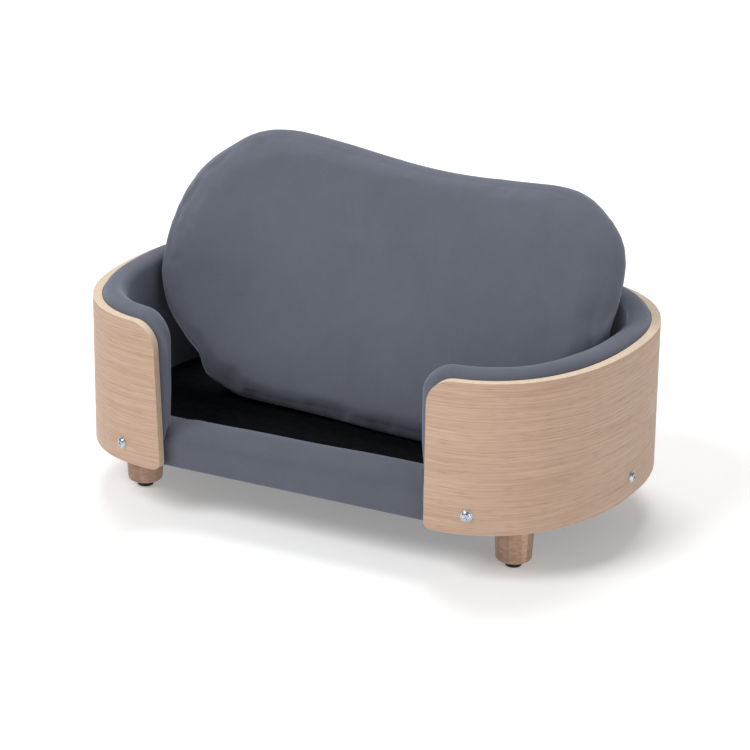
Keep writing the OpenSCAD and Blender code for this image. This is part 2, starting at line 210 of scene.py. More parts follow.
def pathAt(arc):
    low, high = 0, len(path) - 1
    while high - low > 1:
        middle = (low + high) // 2
        if path[middle][0] <= arc:
            low = middle
        else:
            high = middle
    span = path[high][0] - path[low][0]
    k = (arc - path[low][0]) / span if span else 0.0
    point = path[low][1].lerp(path[high][1], k)
    return point, path[low][2].lerp(path[high][2], k).normalized()


def wallPoint(side, arc, depth, z):
    # a point of the wall: side is 1 or -1, arc runs from the doorway's middle, depth inwards
    point, normal = pathAt(arc)
    return Vector((side * (point.x - depth * normal.x), point.y - depth * normal.y, z))


def bothSides(arcs):
    # the columns of a wall from its right front end, round the back, to its left front end
    return [(1, arc) for arc in arcs] + [(-1, arc) for arc in reversed(arcs[:-1])]


# materials


def addNode(material, kind, inputs=None, **settings):
    node = material.node_tree.nodes.new(kind)
    for key, value in settings.items():
        setattr(node, key, value)
    for key, value in (inputs or {}).items():
        node.inputs[key].default_value = value
    return node


def link(material, source, output, target, socket):
    material.node_tree.links.new(source.outputs[output], target.inputs[socket])


def newMaterial(name, **sockets):
    material = bpy.data.materials.new(name)
    material.use_nodes = True
    shader = material.node_tree.nodes["Principled BSDF"]
    for key, value in sockets.items():
        shader.inputs[key.replace("_", " ")].default_value = value
    return material, shader


def objectPlace(material, scale=(1, 1, 1), turn=(0, 0, 0)):
    place = addNode(material, "ShaderNodeTexCoord")
    mapping = addNode(material, "ShaderNodeMapping", {"Scale": scale, "Rotation": turn})
    link(material, place, "Object", mapping, "Vector")
    return mapping


def uvPlace(material, scale):
    place = addNode(material, "ShaderNodeUVMap", uv_map="grain")
    mapping = addNode(material, "ShaderNodeMapping", {"Scale": scale})
    link(material, place, "UV", mapping, "Vector")
    return mapping


def noiseOn(material, place, scale, detail=3.0, roughness=0.55, distortion=0.0):
    pattern = addNode(material, "ShaderNodeTexNoise",
                      {"Scale": scale, "Detail": detail, "Roughness": roughness, "Distortion": distortion})
    link(material, place, "Vector", pattern, "Vector")
    return pattern


def rampOn(material, source, output, stops):
    ramp = addNode(material, "ShaderNodeValToRGB")
    elements = ramp.color_ramp.elements
    while len(elements) < len(stops):
        elements.new(0.5)
    for element, (position, colour) in zip(elements, stops):
        element.position = position
        element.color = (*colour, 1)
    link(material, source, output, ramp, "Fac")
    return ramp


def grey(value):
    return (value, value, value)


def mixColours(material, how, factor, first, second, output="Color"):
    # output is the first node's, and the second one gives its colour
    mix = addNode(material, "ShaderNodeMix", data_type="RGBA", blend_type=how)
    mix.inputs[0].default_value = factor
    link(material, first, output, mix, 6)
    link(material, second, "Color", mix, 7)
    return mix


def bumpFrom(material, shader, layers):
    # layers are (node, output, strength, distance), laid one over another
    last = None
    for node, output, strength, distance in layers:
        bump = addNode(material, "ShaderNodeBump", {"Strength": strength, "Distance": distance})
        link(material, node, output, bump, "Height")
        if last:
            link(material, last, "Normal", bump, "Normal")
        last = bump
    link(material, last, "Normal", shader, "Normal")


velvetLook = {
    "light": (0.137, 0.148, 0.184),
    "dark": (0.120, 0.130, 0.162),
    "sillShadedLight": (0.112, 0.121, 0.151),        # painted shade: the roll is the same velvet, made darker to stand in for the shade on it
    "sillShadedDark": (0.098, 0.106, 0.133),
    "sheen": 0.55,
    "sheenRoughness": 0.42,
    "sheenTint": (0.62, 0.68, 0.82, 1),
}


def velvet(name, light, dark):
    look = velvetLook
    material, shader = newMaterial(name, Roughness=0.88, Sheen_Weight=look["sheen"],
                                   Sheen_Roughness=look["sheenRoughness"],
                                   Sheen_Tint=look["sheenTint"], Specular_IOR_Level=0.22)
    place = objectPlace(material)
    mottle = noiseOn(material, place, 16, 5, 0.62, 0.6)       # brushed patches of the pile
    pile = noiseOn(material, place, 1100, 2, 0.6)             # the pile itself
    nap = noiseOn(material, place, 95, 4, 0.6, 0.4)
    base = rampOn(material, mottle, "Fac", [(0.28, dark), (0.72, light)])
    grain = rampOn(material, pile, "Fac", [(0.3, grey(0.80)), (0.7, grey(1.0))])
    mixed = mixColours(material, "MULTIPLY", 0.8, base, grain)
    link(material, mixed, 2, shader, "Base Color")
    rough = rampOn(material, nap, "Fac", [(0.3, grey(0.80)), (0.7, grey(0.95))])
    link(material, rough, "Color", shader, "Roughness")
    bumpFrom(material, shader, [(nap, "Fac", 0.18, 0.9 * mm), (pile, "Fac", 0.35, 0.35 * mm)])
    return material


def oakVeneer():
    material, shader = newMaterial("oakVeneer", Roughness=0.55, Specular_IOR_Level=0.35)
    warpPlace = uvPlace(material, (7, 24, 1))
    warp = noiseOn(material, warpPlace, 1, 3, 0.5)
    uv = addNode(material, "ShaderNodeUVMap", uv_map="grain")
    shift = addNode(material, "ShaderNodeVectorMath", {1: (0, 0.0060, 0)}, operation="MULTIPLY")
    link(material, warp, "Color", shift, 0)
    bent = addNode(material, "ShaderNodeVectorMath", operation="ADD")
    link(material, uv, "UV", bent, 0)
    link(material, shift, "Vector", bent, 1)

    def along(scale):
        mapping = addNode(material, "ShaderNodeMapping", {"Scale": scale})
        link(material, bent, "Vector", mapping, "Vector")
        return mapping

    lines = noiseOn(material, along((9, 580, 1)), 1, 3, 0.6)
    bands = noiseOn(material, along((3.2, 85, 1)), 1, 3, 0.55)
    pores = noiseOn(material, along((48, 1700, 1)), 1, 1, 0.5)
    lineTone = rampOn(material, lines, "Fac", [(0.30, (0.440, 0.292, 0.203)), (0.48, (0.508, 0.350, 0.254)),
                                               (0.70, (0.578, 0.412, 0.310))])
    bandTone = rampOn(material, bands, "Fac", [(0.3, (0.93, 0.91, 0.89)), (0.7, grey(1.0))])
    poreTone = rampOn(material, pores, "Fac", [(0.57, grey(1.0)), (0.74, (0.70, 0.62, 0.54))])
    toned = mixColours(material, "MULTIPLY", 0.75, lineTone, bandTone)
    porous = mixColours(material, "MULTIPLY", 0.85, toned, poreTone, 2)
    link(material, porous, 2, shader, "Base Color")
    rough = rampOn(material, lines, "Fac", [(0.3, grey(0.62)), (0.7, grey(0.46))])
    link(material, rough, "Color", shader, "Roughness")
    bumpFrom(material, shader, [(lines, "Fac", 0.12, 0.25 * mm), (poreTone, "Color", 0.25, 0.15 * mm)])
    return material


plyLook = {
    "layers": 7,
    "light": (0.85, 0.69, 0.53),
    "dark": (0.77, 0.60, 0.44),
    "endLight": (0.72, 0.54, 0.39),
    "endDark": (0.53, 0.37, 0.25),
    "glue": 0.045,                             # share of the thickness that a glue line takes
}


def plyLayers(material, share, light, dark):
    stops = []
    for layer in range(plyLook["layers"]):
        start = layer / plyLook["layers"]
        tone = light if layer % 2 == 0 else dark
        stops.append((start, [c * 0.72 for c in dark]))
        stops.append((start + plyLook["glue"] * 0.6, tone))
        stops.append((start + 1 / plyLook["layers"] - plyLook["glue"] * 0.5, tone))
    return rampOn(material, share, "Value", stops)


def plywoodEdge():
    # the layers of the bent plywood as they show on its cut edges, told apart by depth
    material, shader = newMaterial("plyEdge", Specular_IOR_Level=0.3)
    depth = addNode(material, "ShaderNodeAttribute", attribute_name="depth")
    cut = addNode(material, "ShaderNodeAttribute", attribute_name="cutEnd")
    share = addNode(material, "ShaderNodeMath", {1: 1 / plan["ply"]}, operation="MULTIPLY")
    link(material, depth, "Fac", share, 0)
    longEdge = plyLayers(material, share, plyLook["light"], plyLook["dark"])
    cutEdge = plyLayers(material, share, plyLook["endLight"], plyLook["endDark"])
    layers = mixColours(material, "MIX", 1.0, longEdge, cutEdge)
    link(material, cut, "Fac", layers, 0)
    fibres = noiseOn(material, objectPlace(material, (160, 160, 160)), 1, 3, 0.6)
    fibreTone = rampOn(material, fibres, "Fac", [(0.3, grey(0.86)), (0.7, grey(1.0))])
    mixed = mixColours(material, "MULTIPLY", 0.9, layers, fibreTone, 2)
    link(material, mixed, 2, shader, "Base Color")
    rough = rampOn(material, fibres, "Fac", [(0.3, grey(0.7)), (0.7, grey(0.5))])
    link(material, rough, "Color", shader, "Roughness")
    bumpFrom(material, shader, [(longEdge, "Color", 0.2, 0.12 * mm), (fibres, "Fac", 0.25, 0.15 * mm)])
    return material


def grainedWood(name, light, dark, grain, turn=(0, 0, 0), roughness=0.55, staves=0.0):
    # solid wood whose grain runs along X before it is turned; staves is the width of glued strips
    material, shader = newMaterial(name, Specular_IOR_Level=0.3)
    lines = noiseOn(material, objectPlace(material, grain, turn), 1, 4, 0.6, 0.5)
    pores = noiseOn(material, objectPlace(material, [g * 4 for g in grain], turn), 1, 2, 0.5)
    tone = rampOn(material, lines, "Fac", [(0.3, dark), (0.7, light)])
    poreTone = rampOn(material, pores, "Fac", [(0.55, grey(1.0)), (0.75, grey(0.72))])
    mixed = mixColours(material, "MULTIPLY", 0.9, tone, poreTone)
    if staves:
        cells = addNode(material, "ShaderNodeTexVoronoi", {"Scale": 1.0, "Randomness": 0.35}, feature="F1")
        place = objectPlace(material, (1 / staves, 0.4 / staves, 0.01), (0, 0, 0.5))
        link(material, place, "Vector", cells, "Vector")
        strip = rampOn(material, cells, "Color", [(0.2, (0.70, 0.66, 0.62)), (0.8, (1.12, 1.08, 1.04))])
        mixed = mixColours(material, "MULTIPLY", 0.9, mixed, strip, 2)
    link(material, mixed, 2, shader, "Base Color")
    rough = rampOn(material, lines, "Fac", [(0.3, grey(roughness + 0.08)), (0.7, grey(roughness - 0.08))])
    link(material, rough, "Color", shader, "Roughness")
    bumpFrom(material, shader, [(lines, "Fac", 0.15, 0.3 * mm), (poreTone, "Color", 0.2, 0.15 * mm)])
    return material


def speckled(name, light, dark, scale, roughness, bump, metallic=0.0, cells=False, specular=0.4):
    # board, foam, non-woven cloth, plastic and metal: one colour range and one fine relief
    material, shader = newMaterial(name, Metallic=metallic, Specular_IOR_Level=specular)
    place = objectPlace(material)
    cloud = noiseOn(material, place, scale * 0.08, 4, 0.6)
    if cells:
        fine = addNode(material, "ShaderNodeTexVoronoi", {"Scale": scale})
        link(material, place, "Vector", fine, "Vector")
        output = "Distance"
    else:
        fine = noiseOn(material, place, scale, 3, 0.6)
        output = "Fac"
    tone = rampOn(material, cloud, "Fac", [(0.3, dark), (0.7, light)])
    fleck = rampOn(material, fine, output, [(0.25, grey(0.86)), (0.75, grey(1.0))])
    mixed = mixColours(material, "MULTIPLY", 0.8, tone, fleck)
    link(material, mixed, 2, shader, "Base Color")
    rough = rampOn(material, cloud, "Fac", [(0.3, grey(roughness + 0.06)), (0.7, grey(roughness - 0.06))])
    link(material, rough, "Color", shader, "Roughness")
    bumpFrom(material, shader, [(fine, output, *bump)])
    return material


def wovenTape(name, light, dark, pitch):
    material, shader = newMaterial(name, Roughness=0.85, Specular_IOR_Level=0.2)
    place = objectPlace(material)
    threads = []
    for direction in ("X", "Z"):
        thread = addNode(material, "ShaderNodeTexWave", {"Scale": 0.32 / pitch, "Distortion": 0.4},
                         bands_direction=direction)
        link(material, place, "Vector", thread, "Vector")
        threads.append(thread)
    weave = mixColours(material, "MULTIPLY", 1.0, *threads)
    tone = rampOn(material, weave, 2, [(0.0, dark), (0.8, light)])
    link(material, tone, "Color", shader, "Base Color")
    bumpFrom(material, shader, [(tone, "Color", 0.5, 0.3 * mm)])
    return material


velvetLiner = velvet("velvetLiner", velvetLook["light"], velvetLook["dark"])
velvetCushion = velvet("velvetCushion", velvetLook["light"], velvetLook["dark"])
# the roll's velvet: a darker copy of the same fabric, as painted shade
velvetSillPaintedShade = velvet("velvetSillPaintedShade", velvetLook["sillShadedLight"], velvetLook["sillShadedDark"])
oakFace = oakVeneer()
plyEdge = plywoodEdge()
legWood = grainedWood("legWood", (0.60, 0.41, 0.31), (0.40, 0.26, 0.19), (26, 420, 420),
                      turn=(0, math.radians(90), 0), staves=11 * mm)
pine = grainedWood("pine", (0.66, 0.47, 0.28), (0.50, 0.32, 0.17), (5, 160, 160))
pineAcross = grainedWood("pineAcross", (0.66, 0.47, 0.28), (0.50, 0.32, 0.17), (5, 160, 160),
                         turn=(0, 0, math.radians(90)))
hardboard = speckled("hardboard", (0.235, 0.145, 0.085), (0.165, 0.098, 0.055), 700, 0.72, (0.3, 0.2 * mm))
foam = speckled("foam", (0.78, 0.74, 0.55), (0.68, 0.62, 0.42), 900, 0.9, (0.7, 0.4 * mm), cells=True)
# the deck is black non-woven cloth, and its colour is darkened further to near-black as painted shade of
# the deep interior
blackClothWithPaintedShade = speckled("blackClothWithPaintedShade", (0.0050, 0.0062, 0.0076), (0.0026, 0.0032, 0.0040), 1300, 0.92,
                      (0.6, 0.25 * mm), specular=0.06)
dustCloth = speckled("dustCloth", (0.030, 0.030, 0.032), (0.018, 0.018, 0.020), 1500, 0.9,
                     (0.7, 0.3 * mm), cells=True, specular=0.2)
zinc = speckled("zinc", (0.60, 0.66, 0.73), (0.46, 0.51, 0.58), 420, 0.27, (0.12, 0.05 * mm), metallic=1.0)
brass = speckled("brass", (0.72, 0.52, 0.22), (0.58, 0.40, 0.15), 420, 0.33, (0.12, 0.05 * mm),
                 metallic=1.0)
blackPlastic = speckled("blackPlastic", (0.022, 0.022, 0.023), (0.012, 0.012, 0.013), 800, 0.45,
                        (0.25, 0.08 * mm))
zipTape = wovenTape("zipTape", (0.11, 0.12, 0.15), (0.055, 0.06, 0.08), 0.8 * mm)
zipMetal = speckled("zipMetal", (0.50, 0.51, 0.54), (0.36, 0.37, 0.40), 500, 0.35, (0.12, 0.04 * mm),
                    metallic=1.0)
print("materials made")

cadLooks = {
    "liner_board": hardboard, "liner_foam": foam, "roll_foam": foam, "cushion_filling": foam,
    "front_rail": pine, "back_rail": pine, "left_rail": pineAcross, "right_rail": pineAcross,
    "front_left_block": pine, "front_right_block": pine, "back_left_block": pine, "back_right_block": pine,
    "deck_board": hardboard, "deck_cloth": blackClothWithPaintedShade, "dust_cover": dustCloth,
    "hanger_bolts": zinc, "tee_nuts": zinc, "threaded_inserts": brass,
}
for name, material in cadLooks.items():
    for slot in nodes[name].material_slots:
        slot.material = material


def finishPiece(piece, body, slotName, *replaced):
    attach(piece, body)
    if replaced:
        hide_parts(*replaced)


# bent plywood shell

shellSet = {
    "topCorner": 28 * mm,
    "footCorner": 8 * mm,
    "doorLean": {1: 0.5 * mm, -1: 5 * mm},     # how far each cut end leans in at its foot
    "rows": 14,
    "columnStep": 9 * mm,
    "cornerSteps": 16,
    "round": 1.7 * mm,                         # rounding of the sanded edges
    "leanRun": 90 * mm,                        # over what length the lean of the cut ends fades out
    "cutFade": (172 * mm, 204 * mm),           # between these heights the cut ends turn from dark to light
}


def cornerDrop(radius, run):
    return radius - math.sqrt(max(radius ** 2 - max(radius - run, 0.0) ** 2, 0.0))


def addGrainMap(piece):
    # arc length and height for the grain, and the distance in from the outer face
    mesh = piece.data
    arcs = []
    depths = mesh.attributes.new("depth", "FLOAT", "POINT")
    cuts = mesh.attributes.new("cutEnd", "FLOAT", "POINT")
    for vertex in mesh.vertices:
        spot = Vector((abs(vertex.co.x), vertex.co.y))
        index = pathTree.find((spot.x, spot.y, 0))[1]
        arc, point, normal = path[index]
        tangent = Vector((-normal.y, normal.x))
        arc += (spot - point).dot(tangent)
        arcs.append(arc if vertex.co.x >= 0 else 2 * halfLength - arc)
        depths.data[vertex.index].value = (point - spot).dot(normal)
        atEnd = vertex.co.y < 0 and abs(vertex.co.x) < plan["doorHalf"] + shellSet["topCorner"]
        cuts.data[vertex.index].value = 1 - blendStep(*shellSet["cutFade"], vertex.co.z) if atEnd else 0.0
    grain = mesh.uv_layers.new(name="grain")
    for loop in mesh.loops:
        grain.data[loop.index].uv = (arcs[loop.vertex_index], mesh.vertices[loop.vertex_index].co.z)


def makeShell():
    corner = shellSet["topCorner"]
    door = plan["doorHalf"]
    turns = [math.pi / 2 * i / shellSet["cornerSteps"] for i in range(shellSet["cornerSteps"])]
    arcs = [door + corner * (1 - math.cos(turn)) for turn in turns]
    arcs += spread(door + corner, halfLength, shellSet["columnStep"])
    columns = bothSides(arcs)

    def place(i, j):
        side, arc = columns[i]
        high = shellHigh[2] - cornerDrop(corner, arc - door)
        low = shellLow[2] + cornerDrop(shellSet["footCorner"], arc - door)
        share = j / shellSet["rows"]
        lean = shellSet["doorLean"][side] * (1 - share) * max(0.0, 1 - (arc - door) / shellSet["leanRun"])
        return wallPoint(side, arc - lean, 0, low + (high - low) * share)

    shell = gridPiece("oakShell", len(columns) - 1, shellSet["rows"], place)
    mergeAndTurnOut(shell)
    middle = shell.data.polygons[len(shell.data.polygons) // 2]
    if middle.normal.dot(Vector((middle.center.x, middle.center.y, 0))) < 0:
        editAll(shell, (bpy.ops.mesh.flip_normals, {}))
    shell.data.materials.append(oakFace)
    shell.data.materials.append(plyEdge)
    applyModifier(shell, "SOLIDIFY", thickness=plan["ply"], offset=-1, material_offset_rim=1)
    applyModifier(shell, "BEVEL", width=shellSet["round"], segments=4, limit_method="ANGLE",
                  angle_limit=math.radians(40), material=1)
    addGrainMap(shell)
    smooth(shell, 40)
    finishPiece(shell, "bed", "oak_veneer", "bent_shell")


makeShell()
print("shell made")


# padded liner round the inside of the shell

linerSet = {
    "middle": 22.1 * mm,                       # middle of the padding, in from the shell's face
    "half": 12.5 * mm,
    "tip": {1: 142 * mm, -1: 150 * mm},        # where the padding ends on the right and on the left
    "nose": 32 * mm,
    "corner": 35 * mm,
    "tailMiddle": 12.3 * mm,                   # the thin tail in front of the roll's ends
    "tailHalf": 2.6 * mm,
    "tailTop": 103 * mm,
    "tailFrom": 86 * mm,
    "tailEnd": 57 * mm,
    "tailTaper": {1: 8 * mm, -1: 3.4 * mm},
    "tuckRun": 20 * mm,                        # over what length and up to what height it tapers
    "tuckTop": 150 * mm,
    "columnStep": 8 * mm,
    "sideRows": 15,
    "crestRows": 14,
    "wave": 0.7 * mm,                          # how far the stuffing makes it uneven
}


def noseTaper(run):
    return 1.0 if run >= linerSet["nose"] else math.sqrt(max(1 - (1 - run / linerSet["nose"]) ** 2, 0.0))


def linerSection(run, z):
    # nearest and farthest distance from the shell's face at that height
    full = blendStep(linerSet["tailFrom"], linerSet["tailTop"], z) if run < linerSet["corner"] else 1.0
    middle = linerSet["tailMiddle"] + (linerSet["middle"] - linerSet["tailMiddle"]) * full
    half = linerSet["tailHalf"] + (linerSet["half"] - linerSet["tailHalf"]) * full
    return middle, half * noseTaper(run)


def makeLiner():
    runs = [linerSet["nose"] * (1 - math.cos(math.pi / 2 * i / 14)) for i in range(15)]
    runs += [linerSet["corner"] - 1 * mm, linerSet["corner"]]
    columns = []
    for hand in (1, -1):
        tip = linerSet["tip"][hand]
        arcs = [tip + run for run in runs]
        arcs += spread(tip + linerSet["corner"] + 5 * mm, halfLength, linerSet["columnStep"])
        half = [(hand, arc) for arc in arcs]
        columns += half if hand == 1 else half[-2::-1]
    side, crest = linerSet["sideRows"], linerSet["crestRows"]
    rows = 2 * side + crest + 1

    def place(i, j):
        hand, arc = columns[i]
        run = arc - linerSet["tip"][hand]
        low = linerSet["tailEnd"] if run < linerSet["corner"] else deckTop
        top = linerTop - cornerDrop(linerSet["corner"], run)
        radius = linerSection(run, top)[1]
        if j <= side or j >= side + crest:
            k = j / side if j <= side else max(2 * side + crest - j, 0) / side
            k = k if j < rows else 0
            z = low + (top - radius - low) * k
            middle, half = linerSection(run, z)
            depth = middle - half if j <= side or j == rows else middle + half
        else:
            angle = math.pi * (1 - (j - side) / crest)
            middle, half = linerSection(run, top - radius)
            depth = middle + radius * math.cos(angle)
            z = top - radius + radius * math.sin(angle)
        tuck = linerSet["tailTaper"][hand] * max(1 - run / linerSet["tuckRun"], 0)
        tuck *= 1 - blendStep(linerSet["tailEnd"], linerSet["tuckTop"], z)
        spot = wallPoint(hand, arc + tuck, depth, z)
        inside = blendStep(linerSet["middle"] - 4 * mm, linerSet["middle"] + 6 * mm, depth) * noseTaper(run)
        bulge = noise.noise(spot * 19) * linerSet["wave"] + noise.noise(spot * 47) * linerSet["wave"] * 0.35
        normal = pathAt(arc)[1]
        spot.x -= hand * normal.x * bulge * inside
        spot.y -= normal.y * bulge * inside
        spot.z += 0.6 * bulge * blendStep(top - 2 * radius, top, z) * noseTaper(run)
        return spot

    liner = gridPiece("velvetWall", len(columns) - 1, rows, place)
    mergeAndTurnOut(liner, 0.05 * mm)
    liner.data.materials.append(velvetLiner)
    smooth(liner, 60)
    finishPiece(liner, "bed", "velvet", "liner_cover", "liner_foam")


makeLiner()
print("liner made")


# upholstered roll across the doorway

rollSet = {
    "front": rollLow[1],
    "crestY": rollLow[1] + 25.5 * mm,
    "backY": rollLow[1] + 51 * mm,
    "shoulder": 80 * mm,
    "crestZ": rollHigh[2],
    "bottom": rollLow[2] - 2.4 * mm,
    "flap": 21 * mm,
    "lowReach": 174 * mm,
    "highReach": 224 * mm,
    "cloth": 1.5 * mm,
    "leftDrop": 3 * mm,                        # the roll is softer towards its left end
    "fold": 1.8 * mm,                          # how far the padded ends press it down
    "dimple": 1.5 * mm,
    "dimpleAt": (-134 * mm, -158 * mm),
    "wave": 1.1 * mm,                          # unevenness of the top and of the front
    "frontWave": 0.7 * mm,
    "columns": 130,
}


def rollProfile():
    s = rollSet
    points = [(s["front"] + s["flap"], s["bottom"]), (s["front"] + 12 * mm, s["bottom"])]
    for i in range(5):
        a = math.pi / 2 * i / 4
        points.append((s["front"] + 3 * mm * (1 - math.sin(a)), s["bottom"] + 3 * mm * (1 - math.cos(a))))
    points += [(s["front"], z) for z in spread(s["bottom"] + 6 * mm, s["shoulder"] - 2 * mm, 3.5 * mm)]
    for i in range(15):
        a = math.pi / 2 * i / 14
        points.append((s["crestY"] - (s["crestY"] - s["front"]) * math.cos(a),
                       s["shoulder"] + (s["crestZ"] - s["shoulder"]) * math.sin(a)))
    for i in range(1, 13):
        a = math.pi / 2 * (1 - i / 12)
        points.append((s["crestY"] + (s["backY"] - s["crestY"]) * math.cos(a),
                       deckTop + (s["crestZ"] - deckTop) * math.sin(a)))
    return points


def rollReach(y):
    # how far along X the roll runs on behind the padding
    depth = y + plan["halfDepth"]
    wide = blendStep(34 * mm, 44 * mm, depth)
    return rollSet["lowReach"] + (rollSet["highReach"] - rollSet["lowReach"]) * wide


def makeRoll():
    profile = rollProfile()
    columns = rollSet["columns"]

    def place(i, j):
        y, z = profile[j]
        x = rollReach(y) * (2 * i / columns - 1)
        tip = linerSet["tip"][1 if x >= 0 else -1]
        high = blendStep(rollSet["shoulder"] - 4 * mm, rollSet["crestZ"], z)
        fold = rollSet["fold"] * blendStep(tip - 16 * mm, tip + 2 * mm, abs(x)) * high
        dimpleX, dimpleY = rollSet["dimpleAt"]
        left = rollSet["dimple"] * hill(x - dimpleX, 6 * mm) * hill(y - dimpleY, 9 * mm)
        left += rollSet["leftDrop"] * high * blendStep(120 * mm, -150 * mm, x)
        wave = noise.noise(Vector((x * 11, y * 24, z * 24))) * rollSet["wave"] * high
        z += wave - fold - left
        frontNoise = noise.noise(Vector((x * 14, 3.1, z * 18)))
        y += rollSet["frontWave"] * frontNoise * blendStep(62 * mm, 76 * mm, z)
        return Vector((x, y, z))

    roll = gridPiece("velvetRoll", columns, len(profile) - 1, place)
    crest = max(roll.data.polygons, key=lambda face: face.center.z)
    if crest.normal.z < 0:
        editAll(roll, (bpy.ops.mesh.flip_normals, {}))
    roll.data.materials.append(velvetSillPaintedShade)
    applyModifier(roll, "SOLIDIFY", thickness=rollSet["cloth"], offset=-1)
    smooth(roll, 60)
    finishPiece(roll, "bed", "velvet", "roll_cover", "roll_foam")


makeRoll()
print("roll made")


# loose cushion, shaped flat and then leaned into its place

cushionSet = {
    "width": 527 * mm,
    "height": 295 * mm,
    "thick": 55 * mm,
    "crown": 6 * mm,
    "corners": {                               # half axis across, half axis up, exponent
        "lowRight": (110 * mm, 105 * mm, 2.0),
        "highRight": (96 * mm, 84 * mm, 2.6),
        "highLeft": (138 * mm, 143 * mm, 2.2),
        "lowLeft": (112 * mm, 97 * mm, 1.6),
    },
    "dip": 12 * mm, "dipAt": 46 * mm, "dipWidth": 118 * mm,
    "leanLeft": 15, "leanRight": 26, "leanAt": 200 * mm,
    "yaw": -3.2, "roll": -1.2,
    "x": -1.2 * mm, "y": -34 * mm,
    "lift": 0.2 * mm,
    "dents": [                                 # across, up, inwards, over what width
        (-203 * mm, 236 * mm, 3.2 * mm, 28 * mm),
        (233 * mm, 246 * mm, 5 * mm, 30 * mm),
        (-228 * mm, 24 * mm, 4 * mm, 16 * mm),
        (-209 * mm, 5 * mm, 6.5 * mm, 15 * mm),
        (-182 * mm, -14 * mm, -3 * mm, 14 * mm),
    ],
    "start": 3.5 * mm,                         # how much thinner each face starts before it is inflated
    "startRim": -0.1 * mm,
    "cap": 6 * mm,                             # how far the inflated faces and the rim may move
    "capRim": 1.6 * mm,
    "voxel": 5 * mm,
    "frames": 20,
    "cloth": {
        "quality": 5,
        "mass": 0.3,
        "tension_stiffness": 15,
        "compression_stiffness": 15,
        "shear_stiffness": 5,
        "bending_stiffness": 0.6,
        "use_pressure": True,
        "uniform_pressure_force": 4.0,
    },
    "seamAt": 19 * mm,
    "seamDepth": 0.7 * mm,
    "seamWidth": 2.2 * mm,
    "puckers": 46,
    "swell": 1.2 * mm,                         # soft unevenness of the filling
    "swellScale": 9,
    "settleOver": 3 * mm,                      # the lower edge settles on the deck over this height
}


def cushionOutline(steps=28):
    s = cushionSet
    halfW = (s["width"] - s["thick"]) / 2
    h = s["height"] - s["thick"]
    quarter = [math.pi / 2 * i / steps for i in range(steps + 1)]
    falling = list(reversed(quarter))
    points = []
    for name, turns, right, high in (("lowRight", falling, 1, 0), ("highRight", quarter, 1, 1),
                                     ("highLeft", falling, -1, 1), ("lowLeft", quarter, -1, 0)):
        a, b, n = s["corners"][name]
        for t in turns:
            qx = a * max(math.cos(t), 0) ** (2 / n)
            qy = b * max(math.sin(t), 0) ** (2 / n)
            points.append((right * (halfW - a + qx), h - b + qy if high else b - qy))
    dipped = []
    for x, y in alongEdges(points, 6 * mm):
        sag = s["dip"] * hill(x - s["dipAt"], s["dipWidth"]) * max(0.0, y / (h / 2) - 1)
        dipped.append((x, y - sag))
    return dipped


def alongEdges(points, step):
    # the same outline with more points on its straight stretches
    dense = []
    for (x0, y0), (x1, y1) in zip(points, points[1:] + points[:1]):
        count = max(1, round(math.hypot(x1 - x0, y1 - y0) / step))
        dense += [(x0 + (x1 - x0) * i / count, y0 + (y1 - y0) * i / count) for i in range(count)]
    return dense


def leaning(u, v, w):
    s = cushionSet
    roll, yaw = math.radians(s["roll"]), math.radians(s["yaw"])
    x = u * math.cos(roll) - v * math.sin(roll)
    h = u * math.sin(roll) + v * math.cos(roll)
    share = (x + s["leanAt"]) / (2 * s["leanAt"])
    lean = math.radians(s["leanLeft"] + (s["leanRight"] - s["leanLeft"]) * share)
    return Vector((s["x"] + x * math.cos(yaw),
                   s["y"] + x * math.sin(yaw) + h * math.sin(lean) - w * math.cos(lean),
                   deckTop + s["lift"] + s["thick"] / 2 + h * math.cos(lean) + w * math.sin(lean)))


def outlineAt(outline, share):
    # the outline has points of uneven spacing, so it is walked by length
    lengths = [0.0]
    for (x0, y0), (x1, y1) in zip(outline, outline[1:] + outline[:1]):
        lengths.append(lengths[-1] + math.hypot(x1 - x0, y1 - y0))
    goal = share * lengths[-1]
    for i in range(len(outline)):
        if lengths[i + 1] >= goal:
            k = (goal - lengths[i]) / max(lengths[i + 1] - lengths[i], 1e-9)
            (x0, y0), (x1, y1) = outline[i], outline[(i + 1) % len(outline)]
            return x0 + (x1 - x0) * k, y0 + (y1 - y0) * k
    return outline[0]


def flatCushion():
    s = cushionSet
    segments, rings = 128, 32
    halfW = (s["width"] - s["thick"]) / 2
    halfH = (s["height"] - s["thick"]) / 2
    rim = s["thick"] / 2 - s["startRim"]
    face = s["thick"] / 2 - s["start"]
    outline = cushionOutline()
    around = [outlineAt(outline, i / segments) for i in range(segments)]
    deselectAll()
    bpy.ops.mesh.primitive_uv_sphere_add(segments=segments, ring_count=rings, radius=1)
    cushion = newest("cushion")
    for vertex in cushion.data.vertices:
        up = math.degrees(math.asin(max(-1, min(1, vertex.co.z))))
        turn = math.atan2(vertex.co.y, vertex.co.x) / (2 * math.pi)
        x, y = around[round(turn * segments) % segments]
        side = 1 if up >= 0 else -1
        if abs(up) > 44.9:
            k = (90 - abs(up)) / 45
            out, w = 0.0, side * (face + s["crown"] * (1 - k ** 2.4))
        else:
            angle = math.radians(up * 2)
            k, out, w = 1.0, rim * math.cos(angle), face * math.sin(angle)
        kx, ky = k + out / halfW, k + out / halfH
        vertex.co = (x * kx, halfH + (y - halfH) * ky, w)
    mergeAndTurnOut(cushion)
    return cushion


